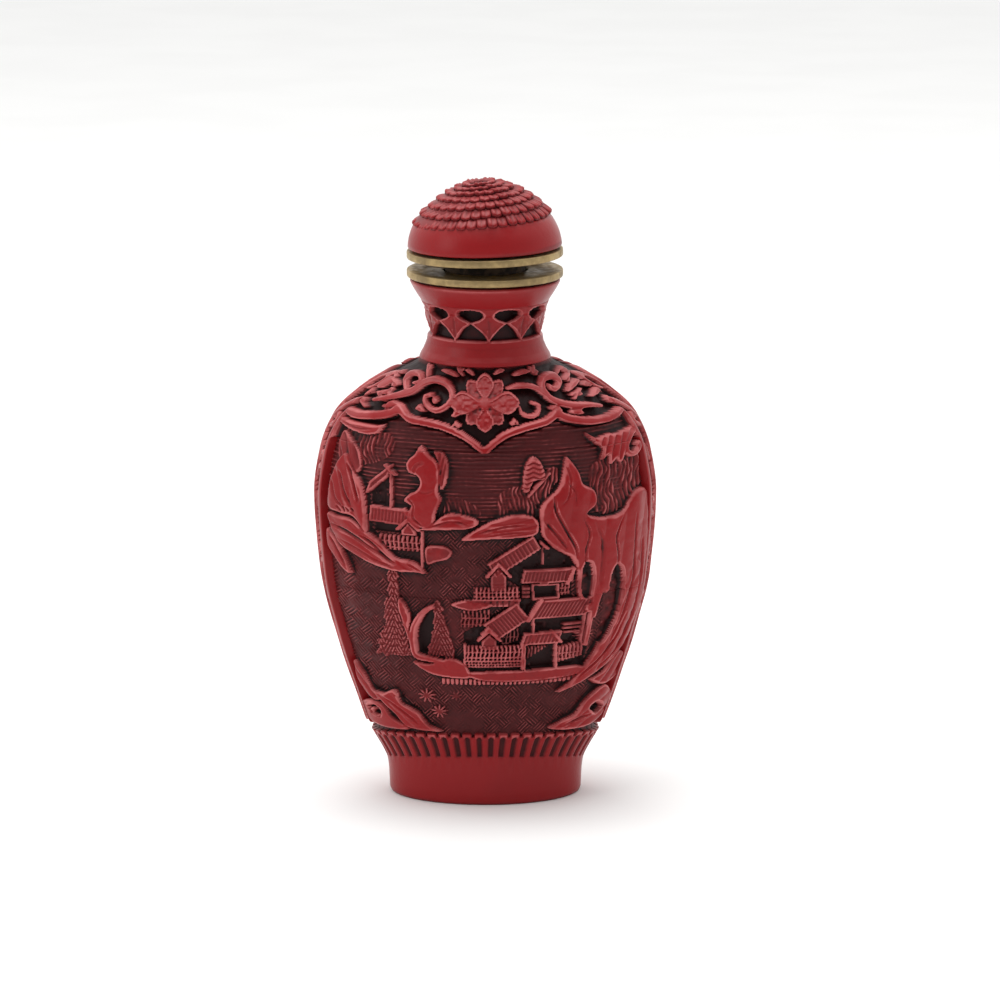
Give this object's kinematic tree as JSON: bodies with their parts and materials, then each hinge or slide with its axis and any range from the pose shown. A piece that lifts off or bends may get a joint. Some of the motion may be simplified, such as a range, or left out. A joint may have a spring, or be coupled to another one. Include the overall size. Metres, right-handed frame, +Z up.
{
  "type": "snuff bottle",
  "caption": "Small flattened-oval snuff bottle with moulded landscape relief, ruyi collar, oval foot, brass-ringed mouth and a domed stopper that lifts off.",
  "frame": {"origin": "centre of the oval foot, on the surface the bottle stands on", "axes": "+Z up through the mouth, X across the broad front, -Y the way the front scene faces"},
  "size_m": [0.0418, 0.0292, 0.0759],
  "materials": {
    "red_resin": "satin, dark in the recesses",
    "aged_brass": "tarnished",
    "dark_cork": "matt"
  },
  "bodies": {
    "root": {"bottle": "red_resin", "mouth_collar": "aged_brass", "cork_plug": "dark_cork", "stopper_disc": "aged_brass", "stopper_dome": "red_resin"}
  },
  "joints": []
}
